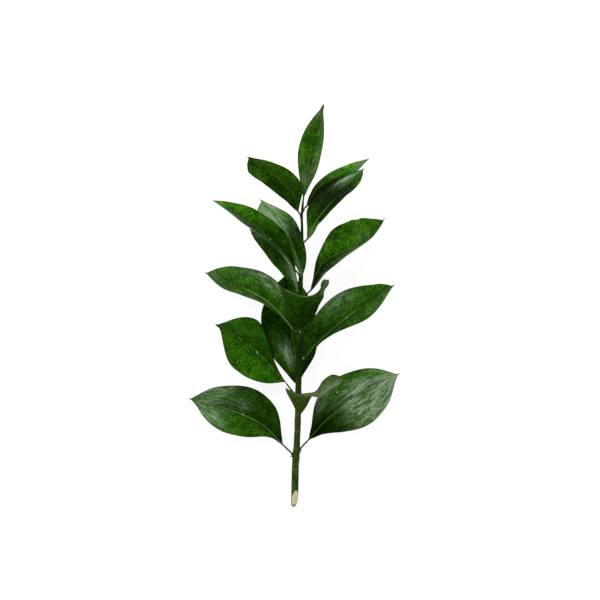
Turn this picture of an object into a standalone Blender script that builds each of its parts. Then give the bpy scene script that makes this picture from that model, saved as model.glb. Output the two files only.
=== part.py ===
"""A cut stem of Israeli ruscus lying on a table: one stem and sixteen leaves.

The stem runs along +Y from its slanting cut to its tip, the table is the plane z = 0, and +Z is up.
Sizes below are in millimetres and degrees; the meshes are made in metres.
"""

import math
from typing import NamedTuple

import bmesh
import bpy
import numpy as np

MM = 0.001
CURVE_SAMPLES = 400
HALF_STEP = 1.5  # along the stem, to find its direction

# The middle line of the stem, from the heel of the cut to the root of the top leaf
STEM_ROUTE = (
    (0.3, -150.6, 2.61),
    (0.6, -138.0, 2.61),
    (1.1, -118.0, 4.7),
    (1.9, -107.0, 6.4),
    (2.7, -89.0, 9.5),
    (3.4, -55.0, 15.0),
    (4.3, -21.0, 19.5),
    (4.8, 12.0, 23.2),
    (5.8, 38.0, 26.5),
    (6.0, 58.0, 29.0),
    (5.8, 67.0, 30.2),
    (6.5, 75.5, 31.2),
)
STEM_RADIUS_AT = ((0, 2.7), (35, 2.65), (50, 2.35), (114, 2.3), (171, 1.6), (210, 1.0), (232, 0.75))
NODE_REACH = 3.0
NODE_SWELLING = 0.1
STEM_SIDES = 12
STEM_RINGS = 46
LEVEL_LENGTH = 13.0  # of the stem's cut end, which lies flat on the table
CUT_SLOPE = 25.0  # between the cut face and the stem
CUT_TURN = 20.0  # the cut faces up and this far round to the right
CUT_BLOCK = (40, 20, 20)  # half the length and width, and the height, of what is cut away

# Colours as the photo shows them, in linear light
STEM_COLOUR = (0.05, 0.10, 0.03)
STEM_ROUGHNESS = 0.5
PALE_GREEN = (0.06, 0.12, 0.035)
LEAF_ROUGHNESS = 0.35

# Where a leaf grows out: a small cushion of the stem, and a pointed scale under it
CUSHION_RADIUS = 1.05
CUSHION_TIP_RADIUS = 0.75
CUSHION_REACH = 0.9
CUSHION_SIDES = 8
LEAST_SLANT = 0.45  # sine of the angle between a stalk and the stem, at least, for the reach
SCALE_LENGTH = 1.9
SCALE_WIDTH = 2.1
SCALE_THICKNESS = 1.0
SCALE_ROOT = 0.3  # share of the stem's radius at which a scale starts
SCALE_SPREAD = 12.0
SCALE_DROP = 1.3  # from the stalk down to its scale
SEAT_GAP = 0.35

# Leaf sections
BLADE_THICKNESS = 0.66
RIB_THICKNESS = 1.3
RIB_HALF_WIDTH = 0.62
RIB_SHARE = 0.3  # of a half's width, at most
SPINE_HALF_WIDTH = 1.1
TIP_HALF_WIDTH = 0.35
STATIONS = (
    *(0, 0.04, 0.1, 0.17, 0.24, 0.31, 0.38, 0.45, 0.52),
    *(0.59, 0.66, 0.73, 0.8, 0.86, 0.91, 0.945, 0.97, 1),
)
PETIOLE_STATIONS = 3
SIDE_STEPS = (0.5, 0.8, 1.0)
STALK_SHARE = 0.05  # of the blade, as thick as the stalk
WAVES = 9.0  # radians of a margin's wave from base to tip
WAVE_HEIGHT = 0.5
EASE = 7.0  # a blade reaches its full fold within one part in this many of its length
TABLE_CLEARANCE = 0.34  # lowest that the middle of a blade comes
TABLE_SOFTNESS = 0.3

# Where along the blade the half widths of a leaf are given, from its base to its tip
WIDTH_SHARES = (0.0, 0.1, 0.25, 0.45, 0.65, 0.85, 0.94, 0.965, 1.0)


class Leaf(NamedTuple):
    """One leaf. Its rib starts at the blade's base; left and right are seen from there, facing the tip."""

    name: str
    height: float  # of its seat, along the stem from the cut
    rib: tuple
    left: tuple  # half widths
    right: tuple
    face: tuple = ((0, 0, 1),)  # where the upper side looks, from base to tip
    fold: tuple = (-8, -8)  # how far the left and right halves rise from the rib
    curl: tuple = (-10, -10)  # how much more they rise at the margin
    colour: tuple = (0.03, 0.12, 0.02)


LEAVES = (
    Leaf(
        "leaf_01_left",
        37.5,
        ((-8.7, -103.4, 9.5), (-23, -89, 10.5), (-39, -81, 8.5), (-59, -74.5, 4.5), (-79, -69.3, -0.3)),
        (2.4, 11.6, 16.8, 17.2, 9.5, 2.6),
        (6.4, 16.3, 21.6, 18.4, 10.5, 3.8),
    ),
    Leaf(
        "leaf_02_right",
        41.0,
        ((11.2, -99.7, 11), (20.5, -89, 13), (34.5, -76.5, 13), (54, -63, 8.5), (79.4, -50.6, -0.3)),
        (5.2, 15.4, 20.5, 17.9, 10.4, 3.7),
        (5, 14.7, 22.5, 22.4, 13.8, 3.9),
    ),
    Leaf(
        "leaf_03_front",
        65.0,
        (
            (4.3, -81, 18),
            (4.4, -73, 26),
            (4.8, -67, 36),
            (9, -66.8, 47),
            (18, -65, 54),
            (27.3, -58.2, 58),
            (34.3, -55.4, 57.5),
            (36.5, -55.2, 54),
        ),
        (4.9, 8.8, 14.5, 5, 3.4, 2.8),
        (4.2, 8.8, 14.2, 4.6, 6.6, 4.8),
        face=(
            (0, 0.7, -0.7),
            (0, 1, 0),
            (0, 1, 0),
            (-0.1, 1, -0.2),
            (-0.3, 0.5, -0.85),
            (-0.1, 0.2, -1),
            (-0.9, 0.1, -0.6),
        ),
        fold=(8, (8, 8, 12, 24, 2, -10, -6, 4, 8)),
        curl=(5, 5),
        colour=PALE_GREEN,
    ),
    Leaf(
        "leaf_04_back",
        85.0,
        ((2.2, -59, 9.5), (1, -37.5, 5.5), (-1.8, -19.5, 3.2), (-4.5, 1, 0.8), (-4, 26.5, -0.3)),
        (7.3, 16.4, 21, 20.5, 10.8, 4.6),
        (5.9, 15, 19.5, 19, 12, 5),
        fold=(4, 4),
        curl=(0, 0),
    ),
    Leaf(
        "leaf_05_left",
        82.5,
        ((-7, -56.5, 12.6), (-18, -44, 13), (-28, -34, 13), (-43.5, -22.3, 10), (-59, -13.5, 5)),
        (10.3, 17.8, 21, 19.4, 8.5, 1.3),
        (1.7, 5, 12.3, 19.3, 11.2, 3.4),
    ),
    Leaf(
        "leaf_06_right",
        110.5,
        (
            (9, -37.5, 21.5),
            (13, -32, 23),
            (24.5, -20.5, 23.5),
            (39.5, -8.2, 20.5),
            (57, 3.5, 12.5),
            (75.5, 16, -0.3),
        ),
        (10.4, 15.2, 18.6, 16.8, 9, 4.4),
        (2.6, 5.8, 11.8, 13.9, 7.8, 2.4),
        fold=(-8, (-55, -55, -39, -34)),
    ),
    Leaf(
        "leaf_07_front",
        129.5,
        (
            (4.6, -17, 26),
            (4.7, -8, 33),
            (4.6, 1.5, 42),
            (5.5, 6, 54),
            (11, 6.6, 65),
            (18, 7.6, 73),
            (21.4, 12.4, 77.5),
            (24.2, 17.6, 79.5),
            (25.6, 19.8, 75.5),
        ),
        (9.5, 15, 17.8, 13.2, 2.4, 2.3),
        (8.5, 14, 18.2, 14, 3, 4),
        face=(
            (0, 0.65, -0.76),
            (0, 0.85, -0.4),
            (0, 1, 0),
            (0, 1, 0),
            (-0.3, 1, 0),
            (-0.3, 1, -0.1),
            (-0.2, 0.2, -1),
            (-0.5, -0.7, -0.5),
        ),
        fold=((14, 14, -4, 2, 8), (24, 26, 38, 2, 0)),
        curl=(5, 5),
        colour=PALE_GREEN,
    ),
    Leaf(
        "leaf_08_left",
        131.5,
        (
            (0, -18.4, 23),
            (-7.7, -8.4, 26),
            (-17.6, 1.6, 28),
            (-28.2, 8.7, 28),
            (-46.5, 17.2, 20),
            (-66.8, 25, -0.3),
        ),
        (2.8, 6.9, 11, 11.8, 8.4, 2.9),
        (4, 13.6, 17.6, 14.7, 8.8, 3.6),
        fold=((-65, -65, -55, -30), -8),
    ),
    Leaf(
        "leaf_09_right",
        156.5,
        (
            (12.4, 11.6, 25),
            (16.8, 24.5, 27),
            (22.6, 33, 28),
            (36, 40.3, 25),
            (47.5, 45, 19),
            (58, 51.6, 11.5),
            (64.2, 59.4, 4.5),
            (68.2, 66.4, -0.3),
        ),
        (0.9, 6, 18.4, 20, 17, 10.2),
        (5, 11, 11.8, 5.8, 5, 3),
        fold=(-8, (-30, -45, -62, -80, -85)),
    ),
    Leaf(
        "leaf_10_left",
        158.5,
        (
            (3, 9.7, 27),
            (-0.2, 20, 27.5),
            (-5.5, 33.5, 27),
            (-15, 44.2, 26),
            (-24, 51, 24),
            (-33.3, 57.5, 21.5),
        ),
        (3.1, 6.7, 9.7, 8.5, 5, 2.8),
        (2, 3.3, 7.5, 9, 5, 2.2),
    ),
    Leaf(
        "leaf_11_front",
        166.5,
        (
            (5.6, 21.7, 33),
            (3.4, 33, 37),
            (-0.7, 44.2, 37),
            (-7.5, 59, 36.5),
            (-15.7, 69.7, 34),
            (-25.6, 79.3, 30),
        ),
        (2.1, 5.4, 10.4, 12.4, 13, 9.8),
        (4.2, 7.8, 9.6, 9.2, 3.7, 1.6),
    ),
    Leaf(
        "leaf_12_left",
        173.5,
        (
            (0.2, 28, 36),
            (-4.2, 34.5, 40.5),
            (-16.9, 49.9, 43.5),
            (-31.1, 60.8, 42),
            (-45.4, 70.9, 37),
            (-60.5, 78.6, 29),
        ),
        (3.3, 5, 6.2, 10, 6.6, 2.2),
        (3.7, 10, 11, 10.3, 4.7, 2.3),
        fold=(-65, -8),
    ),
    Leaf(
        "leaf_13_right",
        198.5,
        (
            (10.1, 50, 33.5),
            (14.2, 59.2, 37.5),
            (21.7, 70, 40),
            (34.5, 84, 40),
            (44, 93.7, 36.5),
            (52.3, 102.5, 31),
        ),
        (3.4, 11.6, 12.2, 8.8, 5.4, 2.4),
        (4, 8, 9, 8.7, 7.4, 4.2),
        fold=(-20, (-60, -60, -55, -30)),
    ),
    Leaf(
        "leaf_14_left",
        219.0,
        ((3, 70.5, 35), (0, 81, 39), (-7.9, 91.1, 40.5), (-19.1, 100.1, 38.5), (-34.9, 111, 32)),
        (4.7, 7.8, 9.6, 9.6, 9.4, 7),
        (3.1, 9.5, 10.7, 8.2, 4.1, 1.7),
    ),
    Leaf(
        "leaf_15_right",
        223.5,
        ((9.7, 74.6, 29.5), (16.5, 86.2, 28), (27.5, 94, 26.5), (40.5, 100.5, 25), (56, 110, 21)),
        (2.3, 4.8, 7.9, 8.2, 4.9, 1.9),
        (4, 9, 11, 8, 4, 1.6),
        fold=(-45, -45),
    ),
    Leaf(
        "leaf_16_top",
        228.0,
        (
            (7.2, 81.4, 33.5),
            (9, 94.5, 35),
            (11.6, 111, 35.5),
            (14.6, 127.5, 34.5),
            (18.4, 140.2, 32),
            (22.3, 150.4, 29),
        ),
        (3.1, 6.5, 9.3, 7.8, 3.5, 1.2),
        (2.9, 6.7, 8.4, 8.2, 4.2, 1.3),
    ),
)


def clear_scene():
    for obj in list(bpy.data.objects):
        bpy.data.objects.remove(obj, do_unlink=True)


def smooth(points, at):
    """Reads a smooth curve through points, spaced by chord length, at shares from 0 to 1."""
    points = np.array(points, float)
    chords = np.linalg.norm(np.diff(points, axis=0), axis=1) ** 0.5
    knots = np.concatenate(([0.0], np.cumsum(chords)))
    knots /= knots[-1]
    return hermite(knots, points, at)


def hermite(knots, values, at):
    """A cubic through values at knots, with slopes that follow the neighbours."""
    knots, values = np.array(knots, float), np.array(values, float)
    steps = np.diff(knots)
    rises = np.diff(values, axis=0) / steps.reshape(-1, *[1] * (values.ndim - 1))
    slopes = np.empty_like(values)
    slopes[0], slopes[-1] = rises[0], rises[-1]
    for i in range(1, len(knots) - 1):
        before, after = steps[i - 1], steps[i]
        slopes[i] = (rises[i - 1] * after + rises[i] * before) / (before + after)
    at = np.clip(np.array(at, float), 0, 1)
    span = np.clip(np.searchsorted(knots, at, side="right") - 1, 0, len(steps) - 1)
    t = (at - knots[span]) / steps[span]
    h = steps[span]
    if values.ndim > 1:
        t, h = t[:, None], h[:, None]
    return (
        (2 * t**3 - 3 * t**2 + 1) * values[span]
        + (t**3 - 2 * t**2 + t) * h * slopes[span]
        + (3 * t**2 - 2 * t**3) * values[span + 1]
        + (t**3 - t**2) * h * slopes[span + 1]
    )


def spaced(points, shares):
    """Places at shares of the length of a smooth curve, and its length."""
    fine = smooth(points, np.linspace(0, 1, CURVE_SAMPLES))
    run = np.concatenate(([0.0], np.cumsum(np.linalg.norm(np.diff(fine, axis=0), axis=1))))
    wanted = np.array(shares) * run[-1]
    return np.stack([np.interp(wanted, run, fine[:, k]) for k in range(3)], axis=1), run[-1]


def unit(vectors):
    vectors = np.asarray(vectors, float)
    return vectors / np.linalg.norm(vectors, axis=-1, keepdims=True)


STEM_LINE, STEM_LENGTH = spaced(STEM_ROUTE, np.linspace(0, 1, CURVE_SAMPLES))


def stem_point(height):
    share = height / STEM_LENGTH * (len(STEM_LINE) - 1)
    return np.array([np.interp(share, range(len(STEM_LINE)), STEM_LINE[:, k]) for k in range(3)])


def stem_direction(height):
    return unit(stem_point(height + HALF_STEP) - stem_point(height - HALF_STEP))


def stem_radius(height):
    """The stem tapers from its cut, and swells a little at each seat."""
    swelling = max(math.exp(-(((height - leaf.height) / NODE_REACH) ** 2)) for leaf in LEAVES)
    return np.interp(height, *zip(*STEM_RADIUS_AT)) * (1 + NODE_SWELLING * swelling)


def mesh_object(name, points, faces, colour, roughness):
    mesh = bpy.data.meshes.new(name)
    mesh.from_pydata([tuple(p) for p in np.array(points) * MM], [], faces)
    mesh.update()
    obj = bpy.data.objects.new(name, mesh)
    bpy.context.scene.collection.objects.link(obj)
    obj.data.materials.append(material(name, colour, roughness))
    return obj


def material(name, colour, roughness):
    made = bpy.data.materials.new(name)
    made.use_nodes = True
    shader = made.node_tree.nodes["Principled BSDF"]
    shader.inputs["Base Color"].default_value = (*colour, 1)
    shader.inputs["Roughness"].default_value = roughness
    shader.inputs["Metallic"].default_value = 0.0
    return made


def seat(leaf):
    """Where a leaf's cushion starts on the stem's middle line, and the direction in which it leaves."""
    foot = stem_point(leaf.height)
    away = unit(np.array(leaf.rib[0], float) - foot)
    slant = np.linalg.norm(np.cross(away, stem_direction(leaf.height)))
    reach = stem_radius(leaf.height) / max(slant, LEAST_SLANT) + CUSHION_REACH
    return foot, away, reach


def blade_line(leaf):
    """The rib from the cushion to the tip, and the places along it as shares of the blade."""
    foot, away, reach = seat(leaf)
    start = foot + away * (reach + SEAT_GAP)
    base = np.array(leaf.rib[0], float)
    petiole = [start + (base - start) * k / PETIOLE_STATIONS for k in range(PETIOLE_STATIONS)]
    blade, _ = spaced(leaf.rib, STATIONS)
    shares = np.concatenate((np.full(PETIOLE_STATIONS, -1.0), STATIONS))
    return np.concatenate((petiole, blade)), shares


def blade_frames(line, faces):
    """The direction, the left side and the upper side at each place along a rib."""
    along = unit(np.gradient(line, axis=0))
    faces = faces * 2 if len(faces) == 1 else faces
    looks = hermite(np.linspace(0, 1, len(faces)), faces, np.linspace(0, 1, len(line)))
    up = unit(looks - np.sum(looks * along, axis=1, keepdims=True) * along)
    left = np.cross(up, along)
    return along, left, up


def half_section(width, fold, curl, shares):
    """How far out and up the points of one half lie, at shares of its width."""
    fold, curl = math.radians(fold), math.radians(curl)
    if abs(curl) < 1e-6:
        return width * shares * math.cos(fold), width * shares * math.sin(fold)
    out = width * (np.sin(fold + curl * shares) - math.sin(fold)) / curl
    rise = width * (math.cos(fold) - np.cos(fold + curl * shares)) / curl
    return out, rise


def lifted(points):
    """Keeps a blade above the table: what would sink lies on it instead."""
    over = (points[:, 2] - TABLE_CLEARANCE) / TABLE_SOFTNESS
    points[:, 2] = TABLE_CLEARANCE + TABLE_SOFTNESS * np.logaddexp(0, over)
    return points


def half_widths(leaf, shares):
    """The left and right half widths along a blade; the stalk is as narrow as the rib."""
    least = np.where(shares < 0.5, RIB_HALF_WIDTH, TIP_HALF_WIDTH)
    sides = []
    for given in (leaf.left, leaf.right):
        given = (RIB_HALF_WIDTH, *given, SPINE_HALF_WIDTH, TIP_HALF_WIDTH)
        values = hermite(WIDTH_SHARES, given, np.clip(shares, 0, 1))
        sides.append(np.maximum(np.where(shares < 0, 0.0, values), least))
    return sides


def turned(fold, share):
    """The fold of one half at a share of the blade: one angle, or several spaced evenly along it."""
    if isinstance(fold, tuple):
        return float(np.interp(share, np.linspace(0, 1, len(fold)), fold))
    return fold


def leaf_rows(leaf):
    """The middle surface of a leaf as rows of points from margin to margin, stalk first."""
    line, shares = blade_line(leaf)
    _, left, up = blade_frames(line, leaf.face)
    rows = [[place] for place in line]
    for side, widths, fold, curl in zip((1, -1), half_widths(leaf, shares), leaf.fold, leaf.curl):
        for i, half in enumerate(widths):
            ease = float(np.clip(shares[i] * EASE, 0, 1))
            bend = turned(fold, shares[i]) * ease
            steps = np.array((min(RIB_HALF_WIDTH / half, RIB_SHARE), *SIDE_STEPS))
            out, rise = half_section(half, bend, curl * ease, steps)
            rise = rise + WAVE_HEIGHT * ease * steps**2 * math.sin(WAVES * shares[i] + side)
            points = [line[i] + side * o * left[i] + r * up[i] for o, r in zip(out, rise)]
            rows[i] = points[::-1] + rows[i] if side == 1 else rows[i] + points
    return np.array(rows, float), shares


def triangles(stations, across):
    """Faces over rows of points, with diagonals that run up and out from the rib."""
    faces = []
    for i in range(stations - 1):
        for j in range(across - 1):
            a, b = i * across + j, i * across + j + 1
            c, d = a + across, b + across
            faces += [(a, b, c), (b, d, c)] if j < across // 2 else [(a, b, d), (a, d, c)]
    return faces


def make_leaf(leaf):
    """A thin arched blade on its stalk, thicker along the rib, as one closed solid."""
    rows, shares = leaf_rows(leaf)
    stations, across, _ = rows.shape
    points = lifted(rows.reshape(-1, 3))
    obj = mesh_object(leaf.name, points, triangles(stations, across), leaf.colour, LEAF_ROUGHNESS)
    thick = obj.vertex_groups.new(name="rib")
    for i in range(stations):
        for j in range(across):
            weight = 1.0 if shares[i] < STALK_SHARE else (1 - shares[i]) * (j == across // 2)
            thick.add([i * across + j], weight, "REPLACE")
    shell = obj.modifiers.new("thickness", "SOLIDIFY")
    shell.thickness = RIB_THICKNESS * MM
    shell.offset = 0.0
    shell.vertex_group = "rib"
    shell.thickness_vertex_group = BLADE_THICKNESS / RIB_THICKNESS
    return obj


def tube(line, radii, sides):
    """Points and faces of a closed tube of flat rings along a line, with one flat side underneath."""
    along = unit(np.gradient(line, axis=0))
    points = []
    for place, direction, radius in zip(line, along, radii):
        side = unit(np.cross(direction, (0, 0, 1)))
        over = np.cross(side, direction)
        for k in range(sides):
            angle = 2 * math.pi * (k + 0.5) / sides
            points.append(place + radius * (math.sin(angle) * side - math.cos(angle) * over))
    faces = [tuple(range(sides)), tuple(range(len(points) - 1, len(points) - sides - 1, -1))]
    for i in range(len(line) - 1):
        for k in range(sides):
            a, b = i * sides + k, i * sides + (k + 1) % sides
            faces.append((a, a + sides, b + sides, b))
    return points, faces


def facing_out(obj):
    shape = bmesh.new()
    shape.from_mesh(obj.data)
    bmesh.ops.recalc_face_normals(shape, faces=shape.faces)
    shape.to_mesh(obj.data)
    shape.free()


def make_stem_body():
    heights = np.concatenate(([0.0, LEVEL_LENGTH], np.linspace(LEVEL_LENGTH, STEM_LENGTH, STEM_RINGS)[1:]))
    line = np.array([stem_point(h) for h in heights])
    radii = [stem_radius(h) for h in heights]
    obj = mesh_object("stem", *tube(line, radii, STEM_SIDES), STEM_COLOUR, STEM_ROUGHNESS)
    facing_out(obj)
    return obj


def make_cushion(leaf):
    foot, away, reach = seat(leaf)
    line = np.array([foot, foot + away * reach * 0.5, foot + away * reach])
    radii = (CUSHION_RADIUS, CUSHION_RADIUS, CUSHION_TIP_RADIUS)
    obj = mesh_object("cushion", *tube(line, radii, CUSHION_SIDES), STEM_COLOUR, STEM_ROUGHNESS)
    facing_out(obj)
    return obj


def make_scale(leaf):
    """The pointed scale below a leaf's stalk leans out from the stem."""
    foot, away, reach = seat(leaf)
    direction = stem_direction(leaf.height)
    out = unit(away - np.dot(away, direction) * direction)
    spread = math.radians(SCALE_SPREAD)
    lean = unit(away * math.cos(spread) + unit(out - direction) * math.sin(spread))
    root = foot - direction * SCALE_DROP
    side = np.cross(direction, out)
    radius = stem_radius(leaf.height)
    low = root + out * radius * SCALE_ROOT
    tip = low + lean * (radius + SCALE_LENGTH)
    thick = unit(np.cross(side, lean)) * SCALE_THICKNESS / 2
    wide = side * SCALE_WIDTH / 2
    points = [low + wide + thick, low - wide + thick, low - wide - thick, low + wide - thick, tip]
    faces = [(0, 1, 2, 3), (1, 0, 4), (2, 1, 4), (3, 2, 4), (0, 3, 4)]
    obj = mesh_object("scale", points, faces, STEM_COLOUR, STEM_ROUGHNESS)
    facing_out(obj)
    return obj


def make_cutter():
    """A block whose lower face is the slanting cut."""
    slope, turn = math.radians(CUT_SLOPE), math.radians(CUT_TURN)
    heel = np.array(STEM_ROUTE[0], float) + (0, 0, -STEM_RADIUS_AT[0][1])
    along = np.array((0.0, math.cos(slope), math.sin(slope)))
    side = np.array((math.cos(turn), 0.0, -math.sin(turn)))
    along = unit(along - np.dot(along, side) * side)
    away = unit(np.cross(side, along))
    corners = [
        heel + a * along * CUT_BLOCK[0] + b * side * CUT_BLOCK[1] + c * away * CUT_BLOCK[2]
        for a in (-1, 1)
        for b in (-1, 1)
        for c in (0, 1)
    ]
    faces = [(0, 1, 3, 2), (4, 6, 7, 5), (0, 4, 5, 1), (2, 3, 7, 6), (0, 2, 6, 4), (1, 5, 7, 3)]
    obj = mesh_object("cutter", corners, faces, STEM_COLOUR, STEM_ROUGHNESS)
    facing_out(obj)
    return obj


def apply_boolean(obj, operation, collection):
    change = obj.modifiers.new(operation, "BOOLEAN")
    change.operation = operation
    change.operand_type = "COLLECTION"
    change.collection = collection
    graph = bpy.context.evaluated_depsgraph_get()
    mesh = bpy.data.meshes.new_from_object(obj.evaluated_get(graph))
    obj.modifiers.clear()
    obj.data = mesh
    for used in list(collection.objects):
        bpy.data.objects.remove(used, do_unlink=True)
    bpy.data.collections.remove(collection)


def gathered(name, objects):
    collection = bpy.data.collections.new(name)
    bpy.context.scene.collection.children.link(collection)
    for obj in objects:
        bpy.context.scene.collection.objects.unlink(obj)
        collection.objects.link(obj)
    return collection


def make_stem():
    stem = make_stem_body()
    seats = [make_cushion(leaf) for leaf in LEAVES]
    seats += [make_scale(leaf) for leaf in LEAVES[:-1]]
    apply_boolean(stem, "UNION", gathered("seats", seats))
    apply_boolean(stem, "DIFFERENCE", gathered("cutters", [make_cutter()]))
    return stem


def main():
    clear_scene()
    make_stem()
    for leaf in LEAVES:
        make_leaf(leaf)


main()
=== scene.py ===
"""Looks for a cut stem of Israeli ruscus that lies on a bright floor.

A finer mesh stands in the place of each packed leaf and of the stem, with veins, ribs, scars and round
margins, and procedural materials. Sizes are in millimetres and degrees; the meshes are made in metres.
"""

import math
from typing import NamedTuple

import bmesh
import bpy
import numpy as np
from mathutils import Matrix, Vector


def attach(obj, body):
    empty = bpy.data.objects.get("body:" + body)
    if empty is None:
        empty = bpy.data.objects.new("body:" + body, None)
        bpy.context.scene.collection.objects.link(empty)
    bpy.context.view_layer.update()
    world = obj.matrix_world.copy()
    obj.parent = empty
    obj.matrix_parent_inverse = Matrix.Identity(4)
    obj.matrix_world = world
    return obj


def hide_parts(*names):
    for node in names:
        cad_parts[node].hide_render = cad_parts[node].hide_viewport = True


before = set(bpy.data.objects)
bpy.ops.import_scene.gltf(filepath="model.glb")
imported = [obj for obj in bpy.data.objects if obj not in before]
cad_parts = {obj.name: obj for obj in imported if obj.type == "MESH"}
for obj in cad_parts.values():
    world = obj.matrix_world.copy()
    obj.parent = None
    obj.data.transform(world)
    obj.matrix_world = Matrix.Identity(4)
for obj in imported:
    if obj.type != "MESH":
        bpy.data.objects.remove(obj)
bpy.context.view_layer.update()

MM = 0.001
TURN = 2 * math.pi
NEAR_ZERO = 1e-6
WELD = 1e-7  # metres
CURVE_SAMPLES = 400
HALF_STEP = 1.5  # along the stem, to find its direction

# The middle line of the stem and its seats, as in the solids
STEM_ROUTE = (
    (0.3, -150.6, 2.61), (0.6, -138.0, 2.61), (1.1, -118.0, 4.7), (1.9, -107.0, 6.4), (2.7, -89.0, 9.5),
    (3.4, -55.0, 15.0), (4.3, -21.0, 19.5), (4.8, 12.0, 23.2), (5.8, 38.0, 26.5), (6.0, 58.0, 29.0),
    (5.8, 67.0, 30.2), (6.5, 75.5, 31.2),
)
STEM_RADIUS_AT = ((0, 2.7), (35, 2.65), (50, 2.35), (114, 2.3), (171, 1.6), (210, 1.0), (232, 0.75))
NODE_REACH = 3.0
NODE_SWELLING = 0.1
LEVEL_LENGTH = 13.0  # of the stem's cut end, which lies flat on the floor
CUT_SLOPE = 25.0
CUT_TURN = 20.0
CUSHION_REACH = 0.9
LEAST_SLANT = 0.45
SEAT_GAP = 0.35

# The coarse surface of a leaf, as in the solids
RIB_HALF_WIDTH = 0.62
RIB_SHARE = 0.3
SPINE_HALF_WIDTH = 1.1
TIP_HALF_WIDTH = 0.35
STATIONS = (
    0, 0.04, 0.1, 0.17, 0.24, 0.31, 0.38, 0.45, 0.52, 0.59, 0.66, 0.73, 0.8, 0.86, 0.91, 0.945, 0.97, 1
)
PETIOLE_STATIONS = 3
SIDE_STEPS = (0.5, 0.8, 1.0)
WAVES = 9.0
WAVE_HEIGHT = 0.5
EASE = 7.0
TABLE_CLEARANCE = 0.34
TABLE_SOFTNESS = 0.3
WIDTH_SHARES = (0.0, 0.1, 0.25, 0.45, 0.65, 0.85, 0.94, 0.965, 1.0)

# The fine surface of a leaf
FIRST_SEED = 500
ROW_SPLIT = 5
HALF_COLUMNS = 44
COLUMN_BUNCHING = 0.08
HALF_THICKNESS = 0.24
EDGE_ROUND = 0.35
STALK_SPAN = 0.06  # how far before 0 the stalk reaches in the painted place along
BLADE_START = (-0.005, 0.06)  # where the round stalk goes over into the blade
TAPER_START = 0.965
TAPER_END = 1.02
SHOULDER_REACH = 3.0
SHOULDER_SPAN = (0.7, 0.85)
LOWEST_TOP = 0.03  # over the floor
# Where the curled end of a blade narrows and widens again: the place along, and the share of its width
WAISTS = {"leaf_07_front": ((0.78, 1.0), (0.87, 0.68), (0.93, 0.95), (0.96, 1.15), (0.98, 1.0), (1.0, 0.35))}

# Swells and dents: how many waves, their rates along and across, how they even out, and the height
BUCKLE_WAVES = 7
BUCKLE_ALONG = (4, 16)
BUCKLE_ACROSS = (1.5, 5)
BUCKLE_EVENING = 3.0
BUCKLE = 0.14

# Veins: ranges of the random draws, and sizes
VEIN_STRAY = (-0.25, 0.25)
VEIN_RATE = (3, 7)
VEIN_START = (0, 6)
VEIN_STRENGTH = (0.5, 1.0)
VEIN_SWAY = 0.02
VEIN_SPACING = 1.9
VEIN_WIDTH = 0.42
VEIN_HEIGHT = 0.05
UNDER_VEIN_HEIGHT = 0.06

# The midrib: a ridge above, in a shallow dip, that ends in a groove, and a keel below
RIDGE_HEIGHT = 0.14
RIDGE_WIDTH = 0.3
GROOVE_DEPTH = 0.05
DIP_DEPTH = 0.04
DIP_WIDTH = 1.1
KEEL_LEAST = 0.1
KEEL_HEIGHT = 0.4
KEEL_EXTRA = 0.2
KEEL_WIDTH = 0.5

# The pale bump that a flower leaves on a leaf
SCAR_SIZE = (1.9, 0.95, 0.3)  # length, width and height
SCAR_DROP = 0.3  # how much wider one end is
SCAR_RINGS = 8
SCAR_SIDES = 12

# The fine stem: ridges by their number and strength, and slow waves by depth, rate and turns
STEM_SEED = 77
STEM_SIDES = 60
STEM_RINGS = 280
STEM_RIDGES = ((5, 0.5), (8, 0.6), (11, 0.7), (13, 0.6))
RIDGE_SHARE = 0.022
STEM_WAVES = ((0.018, 0.21, 2), (0.012, 0.53, 1))
TOP_REACH = 0.8
TOP_ROUND = ((0.3, 0.93), (0.55, 0.78), (0.7, 0.55), (0.8, 0.2))  # how far up, and the radius's share
CUT_RINGS = 16
CUT_SEARCH = 24  # halvings
CUT_SHARES = (0.12, 0.3, 0.48, 0.64, 0.78, 0.9, 0.97)
CUT_DEPTH = 0.12  # within which a point counts as on the cut
END_AT = -150.585
SHARP_ANGLE = 38
POINTS_AT_ONCE = 4000

# The cushion under each stalk
CUSHION_TIP = 0.72
CUSHION_ROOT = 0.95  # share of the stem's radius
CUSHION_FLARE = 0.8
CUSHION_RINGS = 14
CUSHION_SIDES = 20
LOWEST_SEAT = 0.05  # over the floor

# The pointed scale under each stalk, as in the solids
SCALE_LENGTH = 1.9
SCALE_HALF_WIDTH = 0.95
SCALE_SPREAD = 12.0
SCALE_DROP = 1.3
SCALE_ROOT = 0.3  # share of the stem's radius
SCALE_HALF_DEPTH = 0.34
SCALE_LEAST = (0.03, 0.04)  # half width and half depth at the point
SCALE_BOW = 0.35
SCALE_KEEL = 0.25
SCALE_RINGS = 16
SCALE_SIDES = 16

# Colouring of the stem, by the height along it; the first table is the brightness painted at each height
STEM_BRIGHTNESS_AT = (
    (0, 1.5), (12, 1.5), (20, 1.2), (30, 1.4), (60, 1.3), (84, 1.5), (90, 0.85), (100, 0.5), (124, 0.42),
    (129, 0.8), (150, 0.8), (160, 0.95), (182, 1), (196, 0.55), (232, 0.8),
)
STEM_GREENER = (86, 98)
GREENER_SHARE = 0.9
JOINT_BROWN_AT = ((0, 1.0), (60, 1.0), (78, 0.2), (200, 0.2), (212, 1.0))
JOINT_REACH = 1.6
JOINT_SHARE = 0.6
JOINT_RISE = (1.12, 1.6)  # in radii from the middle line
SCALE_RISE = (1.9, 2.6)
SCALE_SHARE = 0.6
PALE_FROM = (98, 106)
PALE_TO = (140, 148)
FLANK_PAINTED_SHADE = (0.6, 0.4)  # painted shade on the stem's sides: what a side keeps, and what the top has more
# Painted light: a brightening of the whole stem, over the painted shade of its sides
TOP_PAINTED_LIGHT = 1.08

# Grain: how many units of noise go across half a blade, and round the stem
BLADE_GRAIN = 18.0
STEM_GRAIN = 2.2

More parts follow.
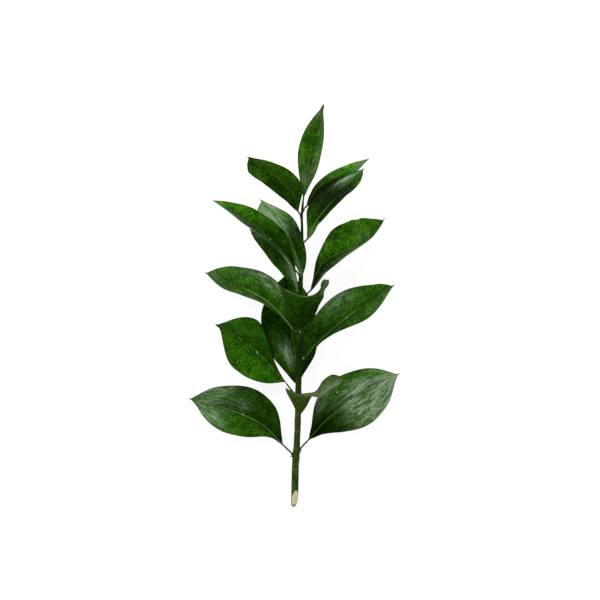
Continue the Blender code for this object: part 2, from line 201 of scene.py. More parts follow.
# Shine, and colours as a screen shows them; in ramps each comes after its place
LEAF_SHINE = 0.012
UNDER_SHINE = 0.012
STEM_SHINE = 0.02
FLOOR_SHINE = 0.2
UPPER_GREENS = ((0.34, (25, 66, 3)), (0.46, (33, 79, 6)), (0.56, (43, 92, 9)), (0.70, (58, 108, 17)))
UPPER_WARM = (74, 108, 20)
UPPER_RIB = (112, 152, 66)
# Painted sheen: the pale grey-green of a painted reflection on the upper side
UPPER_PAINTED_SHEEN = (158, 178, 148)
UNDER_GREENS = ((0.36, (24, 64, 2)), (0.50, (34, 80, 4)), (0.64, (50, 98, 10)))
UNDER_WARM = (62, 82, 22)
UNDER_RIB = (96, 118, 56)
# Painted sheen: the grey-green of a painted reflection on the lower side
UNDER_PAINTED_SHEEN = (124, 140, 112)
MARGIN = (30, 27, 13)
SPINE = (82, 72, 34)
STALK_GREEN = (34, 62, 14)
STALK_BROWN = (70, 47, 40)
STALK_FOOT = (150, 172, 122)
SCAR_GREENS = ((0.3, (104, 132, 62)), (0.7, (176, 192, 118)))
STEM_GREENS = ((0.34, (16, 34, 8)), (0.47, (33, 53, 16)), (0.57, (54, 72, 30)), (0.70, (90, 104, 62)))
STEM_FRESH = (34, 72, 12)
STEM_JOINT = (58, 50, 26)
SCALE_DARK = (92, 78, 44)
SCALE_PALE = (150, 160, 112)
WOOD = ((0.34, (170, 160, 108)), (0.50, (218, 210, 164)), (0.66, (240, 236, 202)))
WOOD_RIM = (120, 98, 52)
FLOOR_GREYS = ((0.3, (0.27, 0.27, 0.27, 1)), (0.7, (0.3, 0.3, 0.3, 1)))  # in linear light
WHITE = (1, 1, 1, 1)

# Camera, in metres and for the lens in millimetres
CAMERA_PLACE = (0.0045, 0.0045, 4.0)
LENS = 320.0
SENSOR = 36.0
CLIP = (0.1, 50.0)

# Light: name, place in metres and power in watts; all look at the origin
WORLD_STRENGTH = 1.2
SKY = ((0.0, 1.0), (0.5, 0.73), (0.77, 0.23), (0.91, 0.05))  # sine of the elevation, and brightness
FLOOR_GLOW = 0.86
FLOOR_HALF = 4.0
LIGHT_SIZE = 1.6
LIGHTS = (("key", (-1.2, 1.6, 1.6), 42.0), ("fill", (1.9, 0.6, 1.6), 6.0), ("low", (0.2, -2.2, 1.5), 7.0))


class Leaf(NamedTuple):
    """One leaf. Its rib starts at the blade's base; left and right are seen from there, facing the tip.

    Places along run from 0 at the base to 1 at the tip, and across from -1 at the left margin to 1.
    """

    name: str
    height: float
    rib: tuple
    left: tuple
    right: tuple
    left_painted_shading: tuple  # painted light and shade on the half: its brightness, evenly spaced from base to tip
    right_painted_shading: tuple
    face: tuple = ((0, 0, 1),)
    fold: tuple = (-8, -8)
    curl: tuple = (-10, -10)
    bloom: tuple = ()  # patches of painted sheen, a painted reflection: a place along and across, the reach in both, and strength
    warmth: float = 0.2
    rib_shows: float = 0.4
    fade: float = 0.48  # where the midrib stops standing out
    stalk: float = 0.9  # how brown the stalk is
    pale: float = 0.0  # how pale the stalk's foot is
    scars: tuple = ()  # pale bumps: the place along and across, and the size


LEAVES = (
    Leaf("leaf_01_left", 37.5,
        ((-8.7, -103.4, 9.5), (-23, -89, 10.5), (-39, -81, 8.5), (-59, -74.5, 4.5), (-79, -69.3, -0.3)),
        (2.4, 11.6, 16.8, 17.2, 9.5, 2.6), (6.4, 16.3, 21.6, 18.4, 10.5, 3.8),
        (0.6, 0.75, 0.9, 1.2, 1.3), (0.35, 0.4, 0.42, 0.8, 1),
        bloom=((0.86, -0.55, 0.16, 0.4, 0.6), (0.72, -0.75, 0.12, 0.3, 0.45), (0.82, 0.2, 0.16, 0.5, 0.4),
         (0.8, 0.85, 0.16, 0.3, 0.4), (0.5, 0.35, 0.07, 0.2, 0.3)),
        rib_shows=0.5, fade=0.5, scars=((0.471, 0, 0.9),)),
    Leaf("leaf_02_right", 41,
        ((11.2, -99.7, 11), (20.5, -89, 13), (34.5, -76.5, 13), (54, -63, 8.5), (79.4, -50.6, -0.3)),
        (5.2, 15.4, 20.5, 17.9, 10.4, 3.7), (5, 14.7, 22.5, 22.4, 13.8, 3.9),
        (0.1, 0.25, 0.9, 1.1, 2), (0.1, 0.25, 1.1, 1.4, 1.8),
        bloom=((0.78, 0.35, 0.26, 0.6, 0.9), (0.5, 0.5, 0.1, 0.6, 0.75), (1, -0.3, 0.17, 0.9, 1.1),
         (0.62, -0.3, 0.14, 0.25, 0.6), (0.3, -0.8, 0.12, 0.3, 0.25), (0.75, 0.9, 0.15, 0.3, 0.4)),
        fade=0.5, scars=((0.52, 0, 0.8), (0.445, -0.55, 1))),
    Leaf("leaf_03_front", 65,
        ((4.3, -81, 18), (4.4, -73, 26), (4.8, -67, 36), (9, -66.8, 47), (18, -65, 54), (27.3, -58.2, 58),
         (34.3, -55.4, 57.5), (36.5, -55.2, 54)),
        (4.9, 8.8, 14.5, 5, 3.4, 2.8), (4.2, 8.8, 14.2, 4.6, 6.6, 4.8),
        (0.6, 0.75, 1, 1.6, 1.8), (0.75, 0.8, 1, 1.4, 0.8),
        face=((0, 0.7, -0.7), (0, 1, 0), (0, 1, 0), (-0.1, 1, -0.2), (-0.3, 0.5, -0.85), (-0.1, 0.2, -1),
         (-0.9, 0.1, -0.6)),
        bloom=((0.8, -0.5, 0.2, 0.8, 1.2), (0.65, 0.8, 0.12, 0.5, 0.5)),
        fold=(8, (8, 8, 12, 24, 2, -10, -6, 4, 8)), curl=(5, 5), warmth=0.85, rib_shows=0),
    Leaf("leaf_04_back", 85,
        ((2.2, -59, 9.5), (1, -37.5, 5.5), (-1.8, -19.5, 3.2), (-4.5, 1, 0.8), (-4, 26.5, -0.3)),
        (7.3, 16.4, 21, 20.5, 10.8, 4.6), (5.9, 15, 19.5, 19, 12, 5),
        (0.35, 0.75, 0.4, 0.4, 0.3), (0.18, 0.3, 0.75, 1.15, 0.1),
        bloom=((0.28, -0.35, 0.1, 0.2, 0.8),),
        fold=(4, 4), curl=(0, 0)),
    Leaf("leaf_05_left", 82.5,
        ((-7, -56.5, 12.6), (-18, -44, 13), (-28, -34, 13), (-43.5, -22.3, 10), (-59, -13.5, 5)),
        (10.3, 17.8, 21, 19.4, 8.5, 1.3), (1.7, 5, 12.3, 19.3, 11.2, 3.4),
        (0.85, 1.1, 1, 0.9, 1.05), (0.75, 0.5, 0.6, 0.8, 0.95),
        warmth=0.1, rib_shows=0.35, fade=0.4, scars=((0.435, 0, 1.1), (0.676, 0, 0.6))),
    Leaf("leaf_06_right", 110.5,
        ((9, -37.5, 21.5), (13, -32, 23), (24.5, -20.5, 23.5), (39.5, -8.2, 20.5), (57, 3.5, 12.5),
         (75.5, 16, -0.3)),
        (10.4, 15.2, 18.6, 16.8, 9, 4.4), (2.6, 5.8, 11.8, 13.9, 7.8, 2.4),
        (0.45, 0.58, 0.8, 0.9, 1.1), (0.45, 0.5, 0.85, 1.2, 1.5),
        bloom=((0.5, -0.8, 0.13, 0.35, 0.4), (0.9, 0.6, 0.15, 0.5, 0.3)),
        fold=(-8, (-55, -55, -39, -34)), stalk=0.2, pale=0.8, rib_shows=0.5, scars=((0.469, 0, 1),)),
    Leaf("leaf_07_front", 129.5,
        ((4.6, -17, 26), (4.7, -8, 33), (4.6, 1.5, 42), (5.5, 6, 54), (11, 6.6, 65), (18, 7.6, 73),
         (21.4, 12.4, 77.5), (24.2, 17.6, 79.5), (25.6, 19.8, 75.5)),
        (9.5, 15, 17.8, 13.2, 2.4, 2.3), (8.5, 14, 18.2, 14, 3, 4),
        (0.36, 0.46, 0.8, 1, 0.95), (0.36, 0.58, 0.85, 0.85, 0.75),
        face=((0, 0.65, -0.76), (0, 0.85, -0.4), (0, 1, 0), (0, 1, 0), (-0.3, 1, 0), (-0.3, 1, -0.1),
         (-0.2, 0.2, -1), (-0.5, -0.7, -0.5)),
        bloom=((0.9, -0.2, 0.08, 1, 0.45), (0.5, 0.8, 0.08, 0.5, 0.2)),
        fold=((14, 14, -4, 2, 8), (24, 26, 38, 2, 0)), curl=(5, 5), stalk=0.1, pale=0.7, warmth=0.1,
        rib_shows=0),
    Leaf("leaf_08_left", 131.5,
        ((0, -18.4, 23), (-7.7, -8.4, 26), (-17.6, 1.6, 28), (-28.2, 8.7, 28), (-46.5, 17.2, 20),
         (-66.8, 25, -0.3)),
        (2.8, 6.9, 11, 11.8, 8.4, 2.9), (4, 13.6, 17.6, 14.7, 8.8, 3.6),
        (0.2, 0.75, 0.9, 0.95, 1.1), (0.65, 1, 0.8, 0.85, 1),
        bloom=((0.38, 0.85, 0.2, 0.3, 0.6), (0.55, -0.95, 0.3, 0.2, 0.2), (0.9, 0, 0.12, 1, 0.15)),
        fold=((-65, -65, -55, -30), -8), rib_shows=0.9, fade=0.42, stalk=0.1, pale=0.7,
        scars=((0.436, 0, 1),)),
    Leaf("leaf_09_right", 156.5,
        ((12.4, 11.6, 25), (16.8, 24.5, 27), (22.6, 33, 28), (36, 40.3, 25), (47.5, 45, 19),
         (58, 51.6, 11.5), (64.2, 59.4, 4.5), (68.2, 66.4, -0.3)),
        (0.9, 6, 18.4, 20, 17, 10.2), (5, 11, 11.8, 5.8, 5, 3),
        (0.04, 0.1, 0.75, 1.1, 1.15, 1.15, 1.2, 1.2, 1.2), (0.06, 0.35, 0.75, 1.4, 1.4),
        bloom=((0.55, 0.9, 0.2, 0.3, 0.6), (0.1, 0.95, 0.1, 0.3, 0.6), (0.7, 0.3, 0.12, 0.4, 0.4)),
        fold=(-8, (-30, -45, -62, -80, -85)), warmth=0.3, rib_shows=0.25),
    Leaf("leaf_10_left", 158.5,
        ((3, 9.7, 27), (-0.2, 20, 27.5), (-5.5, 33.5, 27), (-15, 44.2, 26), (-24, 51, 24),
         (-33.3, 57.5, 21.5)),
        (3.1, 6.7, 9.7, 8.5, 5, 2.8), (2, 3.3, 7.5, 9, 5, 2.2),
        (0.8, 0.8, 0.45, 0.6, 1.5), (1.1, 4.2, 2.4, 2.8, 6),
        bloom=((0.1, 0.1, 0.18, 0.4, 0.75), (0.3, 0.75, 0.2, 0.6, 1.2), (0.9, 0.3, 0.15, 0.6, 0.35)),
        rib_shows=0.6, stalk=0.2),
    Leaf("leaf_11_front", 166.5,
        ((5.6, 21.7, 33), (3.4, 33, 37), (-0.7, 44.2, 37), (-7.5, 59, 36.5), (-15.7, 69.7, 34),
         (-25.6, 79.3, 30)),
        (2.1, 5.4, 10.4, 12.4, 13, 9.8), (4.2, 7.8, 9.6, 9.2, 3.7, 1.6),
        (1.5, 3, 3.6, 2.8, 2.6), (1, 0.45, 0.32, 1.4, 3.2),
        bloom=((0.8, -0.3, 0.25, 0.8, 1.05), (0.03, -0.3, 0.12, 0.9, 0.6), (0.95, 0.6, 0.15, 0.5, 1.1)),
        rib_shows=0.3, stalk=0.2),
    Leaf("leaf_12_left", 173.5,
        ((0.2, 28, 36), (-4.2, 34.5, 40.5), (-16.9, 49.9, 43.5), (-31.1, 60.8, 42), (-45.4, 70.9, 37),
         (-60.5, 78.6, 29)),
        (3.3, 5, 6.2, 10, 6.6, 2.2), (3.7, 10, 11, 10.3, 4.7, 2.3),
        (3.2, 0.28, 0.4, 0.75, 1.4), (0.16, 0.42, 0.68, 1.35, 2.4),
        bloom=((0.05, -0.7, 0.1, 0.6, 1.2), (0.85, -0.8, 0.12, 0.5, 0.3)),
        fold=(-65, -8), warmth=0.3, rib_shows=0.15, stalk=0.2, scars=((0.347, -0.16, 1),)),
    Leaf("leaf_13_right", 198.5,
        ((10.1, 50, 33.5), (14.2, 59.2, 37.5), (21.7, 70, 40), (34.5, 84, 40), (44, 93.7, 36.5),
         (52.3, 102.5, 31)),
        (3.4, 11.6, 12.2, 8.8, 5.4, 2.4), (4, 8, 9, 8.7, 7.4, 4.2),
        (3.6, 1.2, 0.4, 0.2, 0.13, 0.18, 0.7, 1, 1.6), (2.9, 0.6, 0.2, 0.4, 2.5),
        bloom=((0, 0.6, 0.1, 0.8, 0.5), (0.74, -0.8, 0.1, 0.4, 0.8), (0.92, -0.6, 0.15, 0.6, 0.5)),
        fold=(-20, (-60, -60, -55, -30)), rib_shows=0.5, fade=0.36),
    Leaf("leaf_14_left", 219,
        ((3, 70.5, 35), (0, 81, 39), (-7.9, 91.1, 40.5), (-19.1, 100.1, 38.5), (-34.9, 111, 32)),
        (4.7, 7.8, 9.6, 9.6, 9.4, 7), (3.1, 9.5, 10.7, 8.2, 4.1, 1.7),
        (0.42, 0.4, 0.4, 0.6, 0.55), (0.8, 0.58, 0.62, 0.7, 0.5),
        warmth=0.35, rib_shows=0.15),
    Leaf("leaf_15_right", 223.5,
        ((9.7, 74.6, 29.5), (16.5, 86.2, 28), (27.5, 94, 26.5), (40.5, 100.5, 25), (56, 110, 21)),
        (2.3, 4.8, 7.9, 8.2, 4.9, 1.9), (4, 9, 11, 8, 4, 1.6),
        (0.3, 0.55, 1.15, 2.1, 1.6), (0.12, 0.3, 0.5, 2.6, 3.2),
        bloom=((0.9, -0.5, 0.1, 0.8, 0.3), (0.9, 0.5, 0.12, 0.5, 0.8)),
        fold=(-45, -45), warmth=0.35, rib_shows=0.3),
    Leaf("leaf_16_top", 228,
        ((7.2, 81.4, 33.5), (9, 94.5, 35), (11.6, 111, 35.5), (14.6, 127.5, 34.5), (18.4, 140.2, 32),
         (22.3, 150.4, 29)),
        (3.1, 6.5, 9.3, 7.8, 3.5, 1.2), (2.9, 6.7, 8.4, 8.2, 4.2, 1.3),
        (1.9, 0.95, 1, 0.95, 0.8), (1.1, 0.85, 1.2, 0.9, 1),
        bloom=((0.1, 0, 0.2, 1.3, 0.25), (0.45, 0.85, 0.4, 0.35, 0.2), (0.95, 0, 0.12, 1, 0.3)),
        warmth=0.5, rib_shows=0.2),
)


def hermite(knots, values, at):
    """A cubic through values at knots, with slopes that follow the neighbours."""
    knots, values = np.array(knots, float), np.array(values, float)
    steps = np.diff(knots).reshape(-1, *[1] * (values.ndim - 1))
    rises = np.diff(values, axis=0) / steps
    inner = (rises[:-1] * steps[1:] + rises[1:] * steps[:-1]) / (steps[:-1] + steps[1:])
    slopes = np.concatenate((rises[:1], inner, rises[-1:]))
    at = np.clip(np.array(at, float), 0, 1)
    span = np.clip(np.searchsorted(knots, at, side="right") - 1, 0, len(steps) - 1)
    h = steps[span]
    t = (at - knots[span]).reshape(h.shape) / h
    return (
        (2 * t**3 - 3 * t**2 + 1) * values[span]
        + (t**3 - 2 * t**2 + t) * h * slopes[span]
        + (3 * t**2 - 2 * t**3) * values[span + 1]
        + (t**3 - t**2) * h * slopes[span + 1]
    )


def run_along(points, power=1):
    """How far along a line each of its points lies, by the sum of its steps or of a power of them."""
    steps = np.linalg.norm(np.diff(points, axis=0), axis=1) ** power
    return np.concatenate(([0.0], np.cumsum(steps)))


def spaced(points, shares):
    """Places at shares of a smooth curve's length, and the length."""
    points = np.array(points, float)
    knots = run_along(points, 0.5)
    fine = hermite(knots / knots[-1], points, np.linspace(0, 1, CURVE_SAMPLES))
    run = run_along(fine)
    wanted = np.array(shares) * run[-1]
    return np.stack([np.interp(wanted, run, fine[:, k]) for k in range(3)], axis=1), run[-1]


def read(table, at):
    """The value of a table of pairs at a place."""
    return np.interp(at, *zip(*table))


def bell(x, width):
    return np.exp(-((x / width) ** 2))


def ramp_up(x, low, high):
    """From 0 to 1, smoothly, as x goes from low to high."""
    t = np.clip((x - low) / (high - low), 0, 1)
    return t * t * (3 - 2 * t)


def unit(vectors):
    vectors = np.asarray(vectors, float)
    return vectors / np.linalg.norm(vectors, axis=-1, keepdims=True)


STEM_LINE, STEM_LENGTH = spaced(STEM_ROUTE, np.linspace(0, 1, CURVE_SAMPLES))


def stem_point(height):
    share = np.asarray(height) / STEM_LENGTH * (CURVE_SAMPLES - 1)
    return np.stack([np.interp(share, range(CURVE_SAMPLES), STEM_LINE[:, k]) for k in range(3)], axis=-1)


def stem_direction(height):
    return unit(stem_point(height + HALF_STEP) - stem_point(height - HALF_STEP))


def stem_radius(height):
    swelling = np.max([bell(height - leaf.height, NODE_REACH) for leaf in LEAVES], axis=0)
    return read(STEM_RADIUS_AT, height) * (1 + NODE_SWELLING * swelling)


def seat(leaf):
    """Where a cushion starts on the stem's middle line, its direction, and how far it reaches."""
    foot = stem_point(leaf.height)
    away = unit(np.array(leaf.rib[0], float) - foot)
    slant = np.linalg.norm(np.cross(away, stem_direction(leaf.height)))
    reach = stem_radius(leaf.height) / max(slant, LEAST_SLANT) + CUSHION_REACH
    return foot, away, reach


def blade_line(leaf):
    """A leaf's middle line from stalk to tip, and each row's place along, -1 on the stalk."""
    foot, away, reach = seat(leaf)
    start = foot + away * (reach + SEAT_GAP)
    base = np.array(leaf.rib[0], float)
    petiole = [start + (base - start) * k / PETIOLE_STATIONS for k in range(PETIOLE_STATIONS)]
    blade, _ = spaced(leaf.rib, STATIONS)
    shares = np.concatenate((np.full(PETIOLE_STATIONS, -1.0), STATIONS))
    return np.concatenate((petiole, blade)), shares


def blade_frames(line, faces):
    """The directions to the left and up from the blade, at each point of its middle line."""
    along = unit(np.gradient(line, axis=0))
    faces = faces * 2 if len(faces) == 1 else faces
    looks = hermite(np.linspace(0, 1, len(faces)), faces, np.linspace(0, 1, len(line)))
    up = unit(looks - np.sum(looks * along, axis=1, keepdims=True) * along)
    return np.cross(up, along), up


def half_section(width, fold, curl, shares):
    """How far out and up a half blade's points lie: it starts at the fold angle and then curls."""
    fold, curl = math.radians(fold), math.radians(curl)
    if abs(curl) < NEAR_ZERO:
        return width * shares * math.cos(fold), width * shares * math.sin(fold)
    out = width * (np.sin(fold + curl * shares) - math.sin(fold)) / curl
    rise = width * (math.cos(fold) - np.cos(fold + curl * shares)) / curl
    return out, rise


def lifted(points):
    """Keeps a blade above the floor: what would sink lies on it instead."""
    over = (points[..., 2] - TABLE_CLEARANCE) / TABLE_SOFTNESS
    points[..., 2] = TABLE_CLEARANCE + TABLE_SOFTNESS * np.logaddexp(0, over)
    return points


def half_widths(leaf, shares):
    """The width of the left and of the right half at each share of the blade."""
    least = np.where(shares < 0.5, RIB_HALF_WIDTH, TIP_HALF_WIDTH)
    sides = []
    for given in (leaf.left, leaf.right):
        given = (RIB_HALF_WIDTH, *given, SPINE_HALF_WIDTH, TIP_HALF_WIDTH)
        values = hermite(WIDTH_SHARES, given, np.clip(shares, 0, 1))
        sides.append(np.maximum(np.where(shares < 0, 0.0, values), least))
    return sides


def along_blade(value, share):
    """One number, or several spaced evenly along the blade, read at a share of it."""
    if isinstance(value, tuple):
        return np.interp(share, np.linspace(0, 1, len(value)), value)
    return value


def coarse_rows(leaf):
    """Rows of the solid leaf's middle surface from left to right, with the places across and along."""
    line, shares = blade_line(leaf)
    left, up = blade_frames(line, leaf.face)
    rows, across = [], []
    for i, share in enumerate(shares):
        ease = float(np.clip(share * EASE, 0, 1))
        halves = []
        for side, widths, fold, curl in zip((1, -1), half_widths(leaf, shares), leaf.fold, leaf.curl):
            half = widths[i]
            steps = np.array((min(RIB_HALF_WIDTH / half, RIB_SHARE), *SIDE_STEPS))
            out, rise = half_section(half, along_blade(fold, share) * ease, curl * ease, steps)
            rise = rise + WAVE_HEIGHT * ease * steps**2 * math.sin(WAVES * share + side)
            halves.append(([line[i] + side * o * left[i] + r * up[i] for o, r in zip(out, rise)], steps))
        (lefts, left_steps), (rights, right_steps) = halves
        rows.append(lefts[::-1] + [line[i]] + rights)
        across.append(np.concatenate((-left_steps[::-1], [0], right_steps)))
    return lifted(np.array(rows, float)), np.array(across), shares


def split_steps(knots, split):
    """The knots with each interval cut into equal parts, and the same counted in knots."""
    counted = np.linspace(0, len(knots) - 1, (len(knots) - 1) * split + 1)
    return np.interp(counted, range(len(knots)), knots), counted


def fine_surface(leaf):
    """The middle surface at full detail, with its rows' places along and its columns' across."""
    rows, knots, shares = coarse_rows(leaf)
    t = np.linspace(0, 1, HALF_COLUMNS + 1)
    t = t - COLUMN_BUNCHING * np.sin(TURN * t)
    across = np.concatenate((-t[::-1], t[1:]))
    wide = np.array([hermite((k + 1) / 2, row, (across + 1) / 2) for k, row in zip(knots, rows)])
    run = run_along(middle_of(rows))
    at, counted = split_steps(run / run[-1], ROW_SPLIT)
    flat = hermite(run / run[-1], wide.reshape(len(rows), -1), at)
    surface = flat.reshape(len(at), len(across), 3)
    stalk = [-STALK_SPAN * (1 - k / PETIOLE_STATIONS) for k in range(PETIOLE_STATIONS)]
    along = np.interp(counted, range(len(shares)), [*stalk, *STATIONS])
    return surface, along, across


def middle_of(rows):
    return rows[:, rows.shape[1] // 2]


def narrowed(surface, share):
    """The surface with each row drawn in towards its middle, to a share of its width."""
    middle = middle_of(surface)[:, None]
    return middle + (surface - middle) * share[:, None, None]


def arc_lengths(surface):
    """How far each point lies from the rib and from the margin, along the blade's curve across."""
    run = np.array([run_along(row) for row in surface])
    off = run - middle_of(run)[:, None]
    edge = np.where(off < 0, off - off[:, :1], off[:, -1:] - off)
    return off, np.maximum(edge, 0.0)


def with_round_shoulders(surface, along):
    """Rounds a blunt tip's corners: the half widths are smoothed along, and never widened."""
    middle = middle_of(surface)
    run = run_along(middle)
    weights = bell(run[:, None] - run[None], SHOULDER_REACH)
    weights = weights / weights.sum(axis=1, keepdims=True)
    free = ramp_up(along, *SHOULDER_SPAN)
    half = surface.shape[1] // 2
    halves = []
    for side in (surface[:, :half], surface[:, :half:-1]):
        width = np.linalg.norm(side[:, 0] - middle, axis=1)
        share = np.minimum(weights @ width / np.maximum(width, NEAR_ZERO), 1.0)
        halves.append(middle[:, None] + (side - middle[:, None]) * (1 - (1 - share) * free)[:, None, None])
    return np.concatenate((halves[0], middle[:, None], halves[1][:, ::-1]), axis=1)


def buckling(rng, along, across):
    """Soft swells and dents of a living blade, by a few seeded waves."""
    total = 0
    for _ in range(BUCKLE_WAVES):
        lengthwise, sideways = rng.uniform(*BUCKLE_ALONG), rng.uniform(*BUCKLE_ACROSS)
        phase, lean = rng.uniform(0, TURN, 2)
        total = total + np.sin(lengthwise * along[:, None] + sideways * across * math.cos(lean) + phase)
    return total / BUCKLE_EVENING * (ramp_up(along, 0.05, 0.25) * ramp_up(1 - along, 0.0, 0.15))[:, None]


def vein_ridges(rng, along, across, half):
    """Long veins that leave the base together and meet again at the tip."""
    ridges = 0
    count = max(3, int(half.max() / VEIN_SPACING))
    for side in (-1, 1):
        for k in range(1, count):
            place = side * (k + rng.uniform(*VEIN_STRAY)) / count
            sway = VEIN_SWAY * np.sin(rng.uniform(*VEIN_RATE) * along + rng.uniform(*VEIN_START))
            distance = (across - place - sway[:, None]) * half[:, None]
            ridges = ridges + rng.uniform(*VEIN_STRENGTH) * bell(distance, VEIN_WIDTH)
    return ridges * (ramp_up(along, 0.04, 0.2) * ramp_up(1 - along, 0.02, 0.2))[:, None]


def rib_relief(leaf, along, off):
    """The height of the midrib over the upper and under the lower side."""
    fading = 1 - ramp_up(along, leaf.fade - 0.02, leaf.fade + 0.3)
    groove = ramp_up(along, leaf.fade, leaf.fade + 0.2) * ramp_up(1 - along, 0.02, 0.15)
    ridge = RIDGE_HEIGHT * leaf.rib_shows * fading - GROOVE_DEPTH * groove
    above = bell(off, RIDGE_WIDTH) * ridge[:, None] - DIP_DEPTH * bell(off, DIP_WIDTH) * fading[:, None]
    keel = KEEL_LEAST + KEEL_HEIGHT * min(leaf.rib_shows + KEEL_EXTRA, 1) * (1 - np.clip(along, 0, 1))
    return above, bell(off, KEEL_WIDTH) * keel[:, None]


def leaf_shape(leaf, number):
    """The upper and lower points, the places along and across, and how far off are rib and margin."""
    rng = np.random.default_rng(FIRST_SEED + number)
    surface, along, across = fine_surface(leaf)
    surface = with_round_shoulders(surface, along)
    if leaf.name in WAISTS:
        surface = narrowed(surface, read(WAISTS[leaf.name], along))
    off, edge = arc_lengths(surface)
    left = np.clip((TAPER_END - along) / (TAPER_END - TAPER_START), 0, 1)
    taper = np.where(along > TAPER_START, np.sqrt(left), 1)
    surface = narrowed(surface, taper)
    normal = unit(np.cross(np.gradient(surface, axis=1), np.gradient(surface, axis=0)))
    blade = ramp_up(along, *BLADE_START)[:, None]
    surface = surface + normal * (buckling(rng, along, across) * BUCKLE)[..., None] * blade[..., None]
    veins = vein_ridges(rng, along, across, (off[:, -1] - off[:, 0]) / 2)
    round_edge = np.sqrt(1 - np.clip(1 - edge / EDGE_ROUND, 0, 1) ** 2)
    stalk = RIB_HALF_WIDTH * np.sqrt(np.clip(1 - across**2, 0, 1))
    sides = []
    heights = VEIN_HEIGHT, UNDER_VEIN_HEIGHT
    for way, rib, vein, lowest in zip((1, -1), rib_relief(leaf, along, off), heights, (LOWEST_TOP, 0.0)):
        deep = (HALF_THICKNESS + rib + vein * veins) * round_edge * taper[:, None]
        deep = deep * blade + stalk * (1 - blade)
        points = surface + way * normal * deep[..., None]
        points[..., 2] = np.maximum(points[..., 2], lowest)
        sides.append(points)
    return (*sides, along, across, off, edge)


def scar_shape(upper, along, across, scar):
    """A small bump like a drop, half sunk in the blade: its points and faces."""
    row, column = np.abs(along - scar[0]).argmin(), np.abs(across - scar[1]).argmin()
    ahead = unit(upper[row + 2, column] - upper[row - 2, column])
    normal = unit(np.cross(upper[row, column + 2] - upper[row, column - 2], ahead))
    side = np.cross(ahead, normal)
    length, width, height = np.array(SCAR_SIZE) * scar[2]
    lean = (math.pi * np.arange(SCAR_RINGS + 1) / SCAR_RINGS)[:, None, None]
    turn = ring_angles(SCAR_SIDES)[:, None]
    wide = width / 2 * np.sin(lean) * (1 + SCAR_DROP * np.cos(lean))
    points = upper[row, column] - ahead * length / 2 * np.cos(lean) + side * wide * np.cos(turn)
    points = points + normal * height * np.sin(lean) * np.sin(turn)
    return points.reshape(-1, 3), ring_faces(SCAR_RINGS + 1, SCAR_SIDES)


def ring_faces(rings, sides):
    """The four-sided faces between rings that follow each other."""
    pairs = [(i * sides + k, i * sides + (k + 1) % sides) for i in range(rings - 1) for k in range(sides)]
    return [(a, b, b + sides, a + sides) for a, b in pairs]


def with_scars(mesh, scars):
    """Joins the bumps to a leaf's mesh, each with the third material."""
    shape = bmesh.new()
    shape.from_mesh(mesh)
    for points, faces in scars:
        made = [shape.verts.new(p) for p in points * MM]
        for corners in faces:
            face = shape.faces.new([made[k] for k in corners])
            face.smooth, face.material_index = True, 2
        bmesh.ops.remove_doubles(shape, verts=made, dist=WELD)
    shape.to_mesh(mesh)
    shape.free()


def new_mesh(name, points, faces):
    mesh = bpy.data.meshes.new(name)
    mesh.from_pydata(points * MM, [], faces)
    return mesh


def with_cap(points, loop, last):
    """The points and the middle of a loop, and the fan of faces that closes the loop."""
    pairs = zip(loop, loop[1:] + loop[:1])
    fan = [(len(points), a, b) if last else (len(points), b, a) for a, b in pairs]
    return np.concatenate((points, points[loop].mean(axis=0)[None])), fan


def closed_mesh(name, upper, lower):
    """One skin over the upper and lower points, which share their margins, closed at both ends."""
    rows, columns, _ = upper.shape
    upper, edges = upper.copy(), [0, -1]
    upper[:, edges] = (upper[:, edges] + lower[:, edges]) / 2
    points = np.concatenate((upper.reshape(-1, 3), lower[:, 1:-1].reshape(-1, 3)))
    over = np.arange(rows * columns).reshape(rows, columns)
    under = over.copy()
    under[:, 1:-1] = rows * columns + np.arange(rows * (columns - 2)).reshape(rows, columns - 2)
    faces = []
    for sheet, way in ((over, 1), (under, -1)):
        corners = (sheet[:-1, :-1], sheet[:-1, 1:], sheet[1:, 1:], sheet[1:, :-1])
        faces += np.stack(corners, axis=-1).reshape(-1, 4)[:, ::way].tolist()
    count = len(faces) // 2
    for row in (0, rows - 1):
        points, fan = with_cap(points, [*over[row], *under[row, -2:0:-1]], row > 0)
        faces += fan
    mesh = new_mesh(name, points, faces)
    mesh.polygons.foreach_set("use_smooth", [True] * len(faces))
    mesh.polygons.foreach_set("material_index", [0] * count + [1] * count + [0] * (len(faces) - 2 * count))
    return mesh, over, under


def paint_value(mesh, name, values):
    layer = mesh.attributes.new(name, "FLOAT", "POINT")
    layer.data.foreach_set("value", np.asarray(values, np.float32))


def paint_grain(mesh, places):
    """Gives each point's place in the grain to the mesh as a UV map."""
    loops = np.zeros(len(mesh.loops), int)
    mesh.loops.foreach_get("vertex_index", loops)
    mesh.uv_layers.new(name="grain").data.foreach_set("uv", places[loops].astype(np.float32).ravel())


def spread(value, over, under, total):
    """A value, or the values on a leaf's grid, for the points of both its sides."""
    values = np.zeros(total)
    values[under] = values[over] = value
    return values


def leaf_values(leaf, u, v, off, edge):
    """What the materials read at each point of a leaf, from its places along and across."""
    # Patches of painted sheen, a painted reflection, from the leaf's table
    bloom = sum(k * bell(u - a, da) * bell(v - c, dc) for a, c, da, dc, k in leaf.bloom)
    # Painted light and shade on each half, from base to tip
    side = ramp_up(off, -0.4, 0.4)
    tone = along_blade(leaf.left_painted_shading, u) * (1 - side) + along_blade(leaf.right_painted_shading, u) * side
    placed = {"along": u, "off": off, "edge": edge, "past_fade": u - leaf.fade}
    looks = {"warmth": leaf.warmth, "rib_shows": leaf.rib_shows, "brown": leaf.stalk, "pale": leaf.pale}
    return {**placed, **looks, "tone": tone, "bloom": np.clip(bloom, 0, 1.2)}


